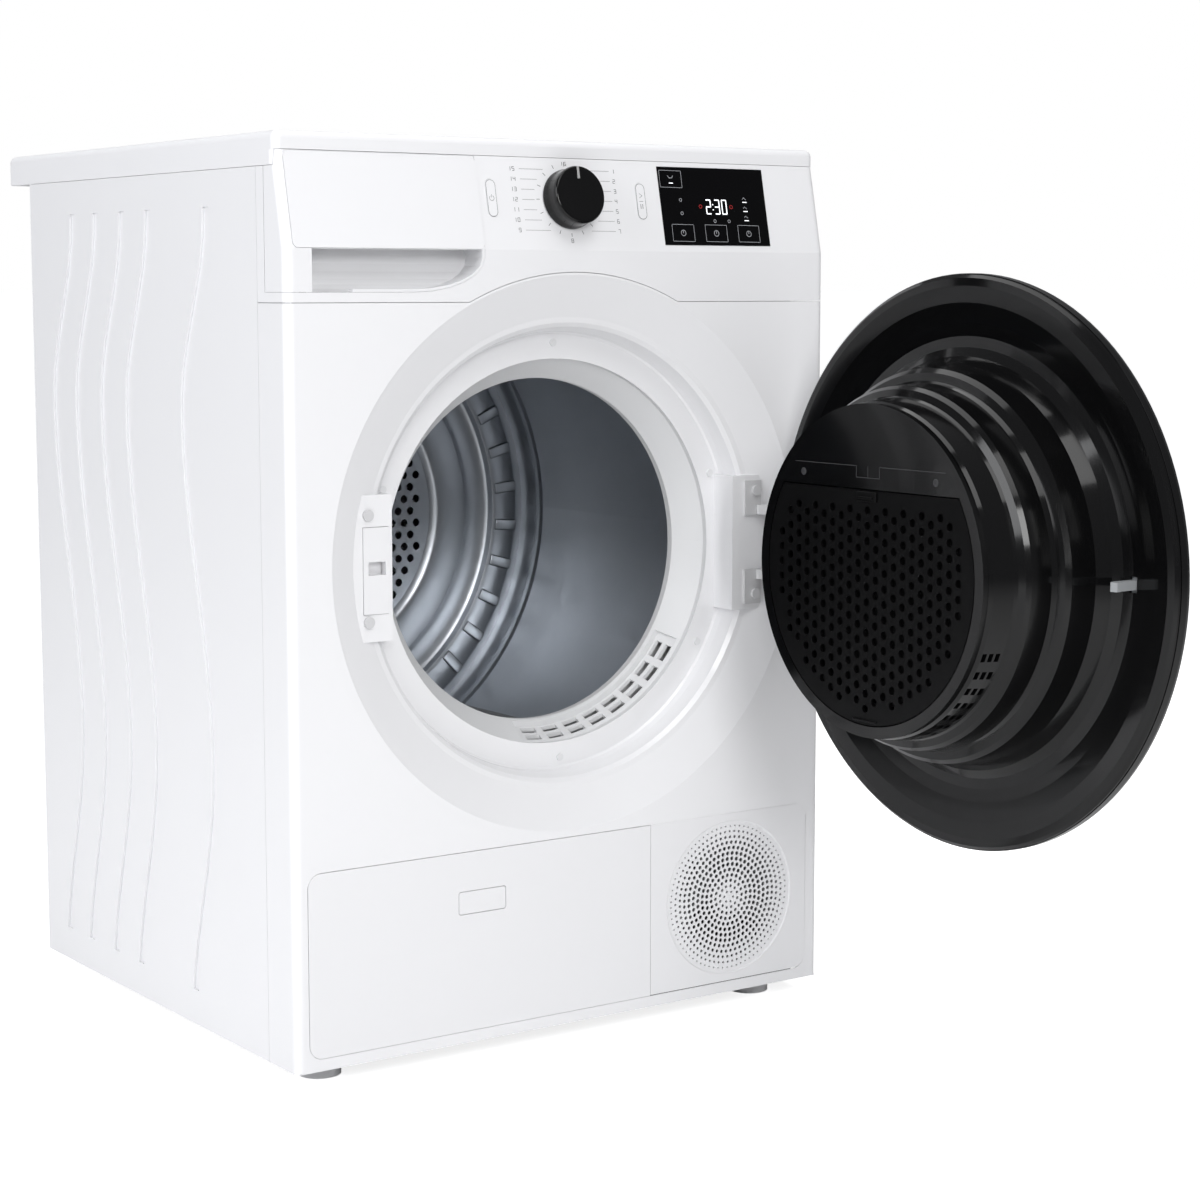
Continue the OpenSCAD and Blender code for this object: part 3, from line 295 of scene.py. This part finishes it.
def perforated(name, outline, holes, thickness, material, corners=12):
    """outline: closed list of (x, y); holes: list of (x, y, radius). Returns a mesh in the XY plane."""
    count = len(outline)
    points = [(x, y, 0) for x, y in outline] + [(x, y, 0) for x, y, _ in holes]
    mesh = bpy.data.meshes.new(name)
    mesh.from_pydata(points, [(i, (i + 1) % count) for i in range(count)], [])
    radii = mesh.attributes.new("hole_r", "FLOAT", "POINT")
    radii.data.foreach_set("value", [0.0] * count + [r for _, _, r in holes])
    piece = bpy.data.objects.new(name, mesh)
    bpy.context.collection.objects.link(piece)
    modifier = piece.modifiers.new("sheet", "NODES")
    modifier.node_group = SHEET_TREE
    sockets = {s.name: s.identifier for s in SHEET_TREE.interface.items_tree if s.in_out == "INPUT"}
    modifier[sockets["Thickness"]] = thickness
    modifier[sockets["Hole Corners"]] = corners
    modifier[sockets["Finish"]] = material
    bpy.context.view_layer.update()
    done = bpy.data.meshes.new_from_object(piece.evaluated_get(bpy.context.evaluated_depsgraph_get()))
    bpy.data.objects.remove(piece)
    print(name, "holes", len(holes), "faces", len(done.polygons))
    return done


# %% Small mesh helpers
def circle_points(radius, steps, start=0.0, end=2 * pi, centre=(0, 0)):
    return [(centre[0] + radius * cos(start + (end - start) * i / steps),
             centre[1] + radius * sin(start + (end - start) * i / steps)) for i in range(steps)]


def lathe(profile, steps=144):
    """Closed profile of (radius, height) turned about Z."""
    mesh = bpy.data.meshes.new("lathe")
    count = len(profile)
    points = [(r * cos(2 * pi * k / steps), r * sin(2 * pi * k / steps), h)
              for k in range(steps) for r, h in profile]
    faces = [(k * count + i, (k + 1) % steps * count + i, (k + 1) % steps * count + (i + 1) % count,
              k * count + (i + 1) % count) for k in range(steps) for i in range(count)]
    mesh.from_pydata(points, [], faces)
    work = bmesh.new()
    work.from_mesh(mesh)
    bmesh.ops.remove_doubles(work, verts=work.verts, dist=1e-6)
    bmesh.ops.dissolve_degenerate(work, edges=work.edges, dist=1e-7)
    bmesh.ops.recalc_face_normals(work, faces=work.faces)
    work.to_mesh(mesh)
    work.free()
    return mesh


def join_meshes(name, meshes):
    work = bmesh.new()
    for mesh in meshes:
        work.from_mesh(mesh)
    joined = bpy.data.meshes.new(name)
    work.to_mesh(joined)
    work.free()
    return joined


def rounded_box(low, high, radius, segments=3):
    work = bmesh.new()
    bmesh.ops.create_cube(work, size=1)
    size, centre = Vector(high) - Vector(low), (Vector(low) + Vector(high)) / 2
    for v in work.verts:
        v.co = Vector(a * b for a, b in zip(v.co, size)) + centre
    bmesh.ops.bevel(work, geom=work.edges, offset=radius, segments=segments, profile=0.5, affect="EDGES")
    mesh = bpy.data.meshes.new("box")
    work.to_mesh(mesh)
    work.free()
    return mesh


def place_piece(name, mesh, matrix, material, body, replaced=(), smooth=35):
    mesh.transform(matrix)
    mesh.materials.clear()
    mesh.materials.append(material)
    mesh.shade_smooth()
    mesh.set_sharp_from_angle(angle=radians(smooth))
    piece = bpy.data.objects.new(name, mesh)
    bpy.context.collection.objects.link(piece)
    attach(piece, body)
    if replaced:
        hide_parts(*replaced)
    return piece

# %% [markdown]
# Places come from the frame where they can: the drum gives the axis of the opening, the control fascia gives
# the top of the control strip, whose slope is a given rise and run, and the door's joint gives the plane in which
# the open door stands.

# %% Places read from the frame
def middle(node):
    low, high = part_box(node)
    return (low + high) / 2


front_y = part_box("front_panel")[0].y
axis_at = middle("drum_shell")
to_front = Matrix.Translation((axis_at.x, 0, axis_at.z)) @ Matrix.Rotation(-pi / 2, 4, "X")
strip_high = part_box("control_fascia")[1]
glass_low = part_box("display_glass")[0]
STRIP_RISE, STRIP_RUN = 0.085, 0.018
STRIP_LEAN = math.atan2(STRIP_RUN, STRIP_RISE)
STRIP_MID = 0.048
strip_base = Vector((0, front_y, strip_high.z - STRIP_RISE))
to_strip = Matrix.Translation(strip_base) @ Matrix.Rotation(pi / 2 - STRIP_LEAN, 4, "X")
door_joint = next(j for j in frame["joints"] if j["name"] == "door_hinge")
hinge_at = Vector(door_joint["pos_m"])
door_low, door_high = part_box("door_cover")
door_mid = (door_low + door_high) / 2
to_door = (Matrix.Translation((hinge_at.x, door_mid.y, door_mid.z))
           @ Matrix.Rotation(-pi / 2, 4, "X") @ Matrix.Rotation(-pi / 2, 4, "Y"))
print("opening axis", axis_at.x, axis_at.z, "door plane x", hinge_at.x)

# %% [markdown]
# The round grille at the foot of the front draws cooling air. Its holes stand in rings of six, twelve,
# eighteen and so on, small in the middle and at the edge and largest half way out, in a shallow dish.

# %% The round air grille
def grille_holes(radius, rings):
    holes = []
    for ring in range(1, rings + 1):
        size = 0.0009 + 0.00125 * sin(pi * min(1.0, ring / rings)) ** 0.8
        for k in range(6 * ring):
            turn = 2 * pi * k / (6 * ring) + 0.11 * ring
            holes.append((radius * ring / rings * cos(turn), radius * ring / rings * sin(turn), size))
    return holes


def air_grille_panel():
    low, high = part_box("grille_panel")
    centre = Vector((high.x - 0.0965, 0, (low.z + high.z) / 2 + 0.0005))
    dish_r, corner = 0.0775, 0.013
    half = (high.z - low.z) / 2
    left, right = low.x - centre.x, high.x - centre.x
    edge = [(left, -half)]
    edge += circle_points(corner, 8, -pi / 2, 0, (right - corner, -half + corner))
    edge += circle_points(corner, 8, 0, pi / 2, (right - corner, half - corner))
    edge += [(right - corner, half), (left, half)]
    plate = perforated("plate", edge, [(0, 0, dish_r)], 0.003, white_moulded, 96)
    disc = perforated("disc", circle_points(dish_r - 0.0012, 96), grille_holes(0.0715, 13), 0.0014,
                      white_moulded)
    disc.transform(Matrix.Translation((0, 0, 0.0011)))
    ring = lathe([(dish_r + 0.0006, 0), (dish_r + 0.0006, 0.003), (dish_r - 0.002, 0.003),
                  (dish_r - 0.002, 0.0012), (dish_r - 0.0008, 0.0009), (dish_r - 0.0001, 0.0003)], 96)
    mesh = join_meshes("air_grille_panel", [plate, disc, ring])
    turn = Matrix.Translation((centre.x, low.y, centre.z)) @ Matrix.Rotation(-pi / 2, 4, "X")
    return place_piece("round_air_grille", mesh, turn, white_moulded, "root", ["grille_panel"])


air_grille_panel()

# %% [markdown]
# The cover over the lint filter is a thin black disc with its top cut off. Its holes stand in upright
# columns, every second one half a step higher. Its pin lies across the face near the lower edge, as on the
# construction model.

# %% The perforated filter cover
COLUMN_STEP, ROW_STEP, COVER_HOLE_R = 0.0118, 0.0136, 0.0038
COVER_BACK, COVER_T = 0.115, 0.003
PIN_LOW, PIN_HIGH, PIN_ROUND = (-0.016, 0.1317, 0.1166), (0.016, 0.1343, 0.1194), 0.0012


def filter_cover_plate():
    radius, chord = 0.1368, -0.0718
    cut = math.asin(-chord / radius)
    edge = circle_points(radius, 96, -cut, pi + cut) + [(-radius * cos(cut), chord)]
    holes = []
    for i in range(-11, 12):
        for j in range(-11, 12):
            x, y = COLUMN_STEP * i, ROW_STEP * (j + (0.5 if i % 2 else 0.0))
            if math.hypot(x, y) < radius - 0.0125 and y > chord + 0.0135:
                holes.append((x, y, COVER_HOLE_R))
    plate = perforated("filter_cover_plate", edge, holes, COVER_T, satin_black, 14)
    plate.transform(Matrix.Translation((0, 0, COVER_BACK)))
    mesh = join_meshes("filter_cover_plate", [plate, rounded_box(PIN_LOW, PIN_HIGH, PIN_ROUND)])
    return place_piece("filter_cover_plate", mesh, to_door, satin_black, "filter_cover_body",
                       ["filter_cover"])


filter_cover_plate()

# %% [markdown]
# Above the cover the dome carries a small flap with a finger tab. The flap is drawn here as fine raised lines in a
# lighter grey, a painted highlight that stands for the light caught by the edges of the seam, and the cover itself
# has a catch at the middle of its straight edge. Two small screws hold the flap, in the same grey.

# %% Flap lines, catch and screws on the dome
DOME_FACE = 0.118


def trim_line(points, width=0.0006, height=0.0002):
    bars = []
    for a, b in zip(points, points[1:]):
        low = (min(a[0], b[0]) - width / 2, min(a[1], b[1]) - width / 2, DOME_FACE - 0.0002)
        high = (max(a[0], b[0]) + width / 2, max(a[1], b[1]) + width / 2, DOME_FACE + height)
        bars.append(rounded_box(low, high, 0.00015, 1))
    return join_meshes("trim", bars)


def dome_trim():
    # Lighter grey than the black dome: on the flap lines it is a painted highlight for the lit seam edges; the
    # screws share it.
    seam_highlight_and_screw_grey = finish("seam_highlight_and_screw_grey", (0.035, 0.035, 0.037), 0.45, specular=0.3, bump=0.06, bump_scale=900,
                       rough_swing=0.05)
    y = -0.093
    left = math.sqrt(0.1365 ** 2 - y * y)
    flap = trim_line([(-left, y), (-0.0155, y), (-0.0155, y + 0.010), (0.0155, y + 0.010), (0.0155, y),
                      (left, y)])
    seam = trim_line([(0, y), (0, y + 0.010)])
    screws = []
    for x in (-0.088, 0.088):
        head = lathe([(0, 0.1182), (0.0012, 0.1182), (0.0012, 0.1186), (0.0030, 0.1186), (0.0034, 0.1181),
                      (0.0034, 0.1178), (0, 0.1178)], 24)
        head.transform(Matrix.Translation((x, -0.084, 0)))
        screws.append(head)
    place_piece("dome_trim", join_meshes("dome_trim", [flap, seam] + screws), to_door, seam_highlight_and_screw_grey, "door", ())
    tongue = rounded_box((-0.013, -0.071, 0.1175), (0.013, -0.062, 0.1200), 0.0008)
    lip = rounded_box((-0.009, -0.0665, 0.1195), (0.009, -0.0645, 0.1215), 0.0006)
    place_piece("filter_catch", join_meshes("filter_catch", [tongue, lip]), to_door, satin_black,
                "filter_cover_body", ())


dome_trim()

# %% [markdown]
# The rear wall of the drum is pressed from one sheet: a band of embossed bars near the rim, a stepped cone
# and a flat middle with round holes, where the warm air comes in.

# %% The drum's rear wall
def drum_wall():
    shell_low, shell_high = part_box("drum_shell")
    rim = (shell_high.x - shell_low.x) / 2 - 0.0011
    end = shell_high.y
    t = 0.0012
    face = [(0.149, -0.0062), (0.1535, -0.0105), (0.158, -0.012), (0.190, -0.0095), (0.195, -0.0085),
            (0.2, -0.0032), (0.204, -0.002), (rim - 0.052, -0.0028), (rim - 0.0485, -0.005),
            (rim - 0.046, -0.011), (rim - 0.042, -0.0125), (rim - 0.016, -0.0085), (rim - 0.0125, -0.0065),
            (rim - 0.0105, -0.002), (rim - 0.008, -0.0012), (rim, -0.0012)]
    back = [(r, h + t) for r, h in reversed(face)]
    shell = lathe(face + back, 180)
    holes = []
    for i in range(-10, 11):
        for j in range(-12, 13):
            x, y = 0.0155 * (i + (0.5 if j % 2 else 0)), 0.0134 * j
            if 0.04 < math.hypot(x, y) < 0.139:
                holes.append((x, y, 0.0046))
    disc = perforated("disc", circle_points(0.1496, 120), holes, t, drum_steel, 12)
    disc.transform(Matrix.Translation((0, 0, -0.0062)))
    hub = lathe([(0, -0.0085), (0.030, -0.0085), (0.0335, -0.0062), (0.0335, 0.003), (0, 0.003)], 64)
    parts = [shell, disc, hub]
    for k in range(36):
        bar = rounded_box((rim - 0.043, -0.0062, -0.0146), (rim - 0.015, 0.0062, -0.0092), 0.0016)
        bar.transform(Matrix.Rotation(radians(10 * k + 5), 4, "Z"))
        parts.append(bar)
    mesh = join_meshes("drum_wall", parts)
    return place_piece("drum_wall", mesh, Matrix.Translation((0, end, 0)) @ to_front, drum_steel, "drum",
                       ["drum_rear_wall"])


drum_wall()

# %% [markdown]
# The programme knob is a tall cap with a soft top edge and a slightly waisted side. Its pointer is let into
# the rim, as on the construction model.

# %% The knob
def knob_cap():
    r, top = 0.028, 0.022
    side = [(0, 0.001), (r - 0.0006, 0.001), (r, 0.0016), (r, 0.0042), (r - 0.0009, 0.006),
            (r - 0.0014, 0.010), (r - 0.0012, 0.016)]
    crown = [(r - 0.0032 + 0.0022 * cos(a), top - 0.0026 + 0.0026 * sin(a)) for a in
             [radians(15 * k) for k in range(1, 7)]]
    mesh = lathe(side + crown + [(r - 0.006, top), (r - 0.010, top - 0.0006), (0, top - 0.0011)], 96)
    place = to_strip @ Matrix.Translation((0, STRIP_MID, 0))
    return place_piece("knob_cap", mesh, place, gloss_black, "knob_body", ["knob"])


knob_cap()


def knob_mark():
    mesh = rounded_box((-0.0012, 0.0148, 0.0208), (0.0012, 0.0262, 0.0224), 0.0004, 2)
    place = to_strip @ Matrix.Translation((0, STRIP_MID, 0))
    return place_piece("knob_mark", mesh, place, pointer_grey, "knob_body", ["knob_pointer"])


pointer_grey = finish("pointer_grey", (0.33, 0.33, 0.33), 0.4, bump=0.05, bump_scale=900, rough_swing=0.03)
knob_mark()

# %% [markdown]
# Printing is a film of ink a few hundredths of a millimetre thick. Here it is a real, very thin solid, so
# that it keeps its place from every side: a ring of ticks and plain numbers round the knob, outlines round
# the two keys and generic symbols on them.

# %% Printing tools
ink_grey = finish("ink_grey", (0.10, 0.10, 0.105), 0.6, bump=0.05, bump_scale=1500, rough_swing=0.05)
INK = 0.00012


def stroke(a, b, width, z0=0.0, height=INK):
    a, b = Vector((*a, 0)), Vector((*b, 0))
    along = (b - a).normalized() * width / 2
    side = Vector((-along.y, along.x, 0))
    corners = [a - along - side, b + along - side, b + along + side, a - along + side]
    mesh = bpy.data.meshes.new("stroke")
    low, high = Vector((0, 0, z0)), Vector((0, 0, z0 + height))
    mesh.from_pydata([c + low for c in corners] + [c + high for c in corners], [],
                     [(3, 2, 1, 0), (4, 5, 6, 7), (0, 1, 5, 4), (1, 2, 6, 5), (2, 3, 7, 6), (3, 0, 4, 7)])
    return mesh


def polyline(points, width, closed=False, z0=0.0, height=INK):
    pairs = list(zip(points, points[1:])) + ([(points[-1], points[0])] if closed else [])
    return [stroke(a, b, width, z0, height) for a, b in pairs]


def rounded_outline(cx, cy, w, h, r, steps=6):
    points = []
    for k, (sx, sy) in enumerate([(1, 1), (-1, 1), (-1, -1), (1, -1)]):
        points += circle_points(r, steps, k * pi / 2, (k + 1) * pi / 2 + 0.01,
                                (cx + sx * (w / 2 - r), cy + sy * (h / 2 - r)))
    return points


SEGMENTS = {"0": "abcdef", "1": "bc", "2": "abged", "3": "abgcd", "4": "fgbc", "5": "afgcd", "6": "afgedc",
            "7": "abc", "8": "abcdefg", "9": "abcdfg"}


def digit(character, x, y, w, h, width, z0=0.0, height=INK):
    spots = {"a": ((0, 1), (1, 1)), "b": ((1, 1), (1, 0.5)), "c": ((1, 0.5), (1, 0)), "d": ((0, 0), (1, 0)),
             "e": ((0, 0.5), (0, 0)), "f": ((0, 1), (0, 0.5)), "g": ((0, 0.5), (1, 0.5))}
    gap = 0.09
    meshes = []
    for name in SEGMENTS[character]:
        (ax, ay), (bx, by) = spots[name]
        ax, bx = ax + gap * (bx - ax), bx - gap * (bx - ax)
        ay, by = ay + gap * (by - ay), by - gap * (by - ay)
        meshes.append(stroke((x + ax * w, y + ay * h), (x + bx * w, y + by * h), width, z0, height))
    return meshes


# %% Ticks and numbers round the knob
def dial_printing():
    meshes = []
    centre = (0.0, STRIP_MID)
    for k in range(16):
        turn = pi / 2 - 2 * pi * k / 16
        out = Vector((cos(turn), sin(turn)))
        near, far = 0.0315, 0.0345
        meshes.append(stroke((centre[0] + near * out.x, centre[1] + near * out.y),
                             (centre[0] + far * out.x, centre[1] + far * out.y), 0.0005))
    rows = [(-1, 0.076, "15"), (-1, 0.0665, "14"), (-1, 0.057, "13"), (-1, 0.0475, "12"), (-1, 0.038, "11"),
            (-1, 0.0285, "10"), (-1, 0.019, "9"), (1, 0.076, "1"), (1, 0.0665, "2"), (1, 0.057, "3"),
            (1, 0.0475, "4"), (1, 0.038, "5"), (1, 0.0285, "6"), (1, 0.019, "7")]
    for side, y, text in rows:
        dx = math.sqrt(max(0.0, 0.037 ** 2 - (y - STRIP_MID) ** 2))
        start = side * max(dx, 0.016)
        end = side * 0.050
        meshes += polyline([(start, y), (end, y)], 0.00028)
        x = end + (0.0035 if side > 0 else -0.0035 - 0.0042 * len(text))
        for c in text:
            meshes += digit(c, x, y - 0.0018, 0.0022, 0.0036, 0.00042)
            x += 0.0042
    for c, x in (("1", -0.0042), ("6", 0.0002)):
        meshes += digit(c, x, 0.0802, 0.0022, 0.0032, 0.00042)
    meshes += digit("8", -0.0011, 0.0078, 0.0022, 0.0036, 0.00042)
    mesh = join_meshes("dial_printing", meshes)
    return place_piece("dial_printing", mesh, to_strip, ink_grey, "root", ())


dial_printing()


# %% Outlines and symbols on the two keys
KEY_FACE = 0.0004


def key_printing(x, symbol, body, name):
    line = 0.00035
    outline = polyline(rounded_outline(x, STRIP_MID, 0.0098, 0.0336, 0.0046), line, True, KEY_FACE)
    if symbol == "power":
        ring = [(x + 0.0024 * cos(a), STRIP_MID + 0.0024 * sin(a)) for a in
                [radians(125 + 290 * k / 16) for k in range(17)]]
        marks = polyline(ring, line, False, KEY_FACE)
        marks.append(stroke((x, 0.0486), (x, 0.0513), line, KEY_FACE))
    else:
        marks = polyline([(x - 0.0014, 0.0555), (x + 0.0016, 0.0535), (x - 0.0014, 0.0515)], line, False,
                         KEY_FACE)
        marks.append(stroke((x - 0.002, STRIP_MID), (x + 0.002, STRIP_MID), line, KEY_FACE))
        marks += [stroke((x + s * 0.0011, 0.0452), (x + s * 0.0011, 0.0412), line * 1.6, KEY_FACE)
                  for s in (-1, 1)]
    mesh = join_meshes(name, outline + marks)
    return place_piece(name, mesh, to_strip, ink_grey, body, ())


key_printing(-0.0835, "power", "power_key", "power_symbol")
key_printing(0.0835, "start", "start_key", "start_symbol")

# %% [markdown]
# The display is a black window with lit digits behind it. The digits glow, so their finish is an emitter;
# the touch fields are thin outlines with a simple symbol each.

# %% Display
def glow(name, color, strength):
    material = finish(name, color, 0.5, rough_swing=0.02)
    shader = material.node_tree.nodes["Principled BSDF"]
    shader.inputs["Emission Color"].default_value = (*color, 1)
    shader.inputs["Emission Strength"].default_value = strength
    return material


lit_white = glow("lit_white", (0.85, 0.87, 0.9), 0.9)
lit_grey = glow("lit_grey", (0.35, 0.36, 0.38), 0.22)
lit_red = glow("lit_red", (0.35, 0.02, 0.02), 0.3)


FIELD_X, FIELD_Y = (0.0225, 0.062, 0.1015), 0.0185
TOP_FIELD = (0.0145, 0.0705)


def display_marks():
    x0 = glass_low.x
    z0 = 0.0004
    bright, dim, red = [], [], []
    for x, y in [TOP_FIELD] + [(x, FIELD_Y) for x in FIELD_X]:
        dim += polyline(rounded_outline(x0 + x, y, 0.026, 0.0165, 0.0008, 2), 0.00032, True, z0)
    for c, x in (("2", 0.0535), ("3", 0.0640), ("0", 0.0725)):
        bright += digit(c, x0 + x, 0.0375, 0.0052, 0.0135, 0.00115, z0)
    for y in (0.0415, 0.0465):
        bright.append(stroke((x0 + 0.0613, y), (x0 + 0.0616, y), 0.0011, z0))
    for x in (0.0465, 0.0835):
        red += polyline(circle_points(0.0017, 8, 0, 2 * pi, (x0 + x, 0.0445)), 0.0005, True, z0)
    for y in (0.0515, 0.0425, 0.0335):
        bright.append(stroke((x0 + 0.0985, y - 0.002), (x0 + 0.1030, y - 0.002), 0.0008, z0))
        dim += polyline([(x0 + 0.0985, y + 0.001), (x0 + 0.1, y + 0.0025), (x0 + 0.1025, y + 0.0005)],
                        0.0004, False, z0)
    for x, y in ((0.0235, 0.0505), (0.0235, 0.0375), (0.062, 0.0305), (0.079, 0.0305)):
        dim += polyline(circle_points(0.0015, 7, 0, 2 * pi, (x0 + x, y)), 0.00045, True, z0)
    for x in FIELD_X:
        dim += polyline(circle_points(0.0028, 12, 0, 2 * pi, (x0 + x, FIELD_Y)), 0.0005, True, z0)
        dim.append(stroke((x0 + x, FIELD_Y), (x0 + x, 0.0205), 0.0005, z0))
    dim += polyline([(x0 + 0.0115, 0.0735), (x0 + 0.0130, 0.0715), (x0 + 0.0160, 0.0715),
                     (x0 + 0.0175, 0.0735)], 0.0005, False, z0)
    bright.append(stroke((x0 + 0.0125, 0.0665), (x0 + 0.0165, 0.0665), 0.0008, z0))
    for x in (0.042, 0.0815):
        dim.append(stroke((x0 + x - 0.012, 0.0065), (x0 + x + 0.012, 0.0065), 0.0003, z0))
    for meshes, material, name in ((bright, lit_white, "display_digits"), (dim, lit_grey, "display_fields"),
                                   (red, lit_red, "display_lamps")):
        place_piece(name, join_meshes(name, meshes), to_strip, material, "root", ())


display_marks()
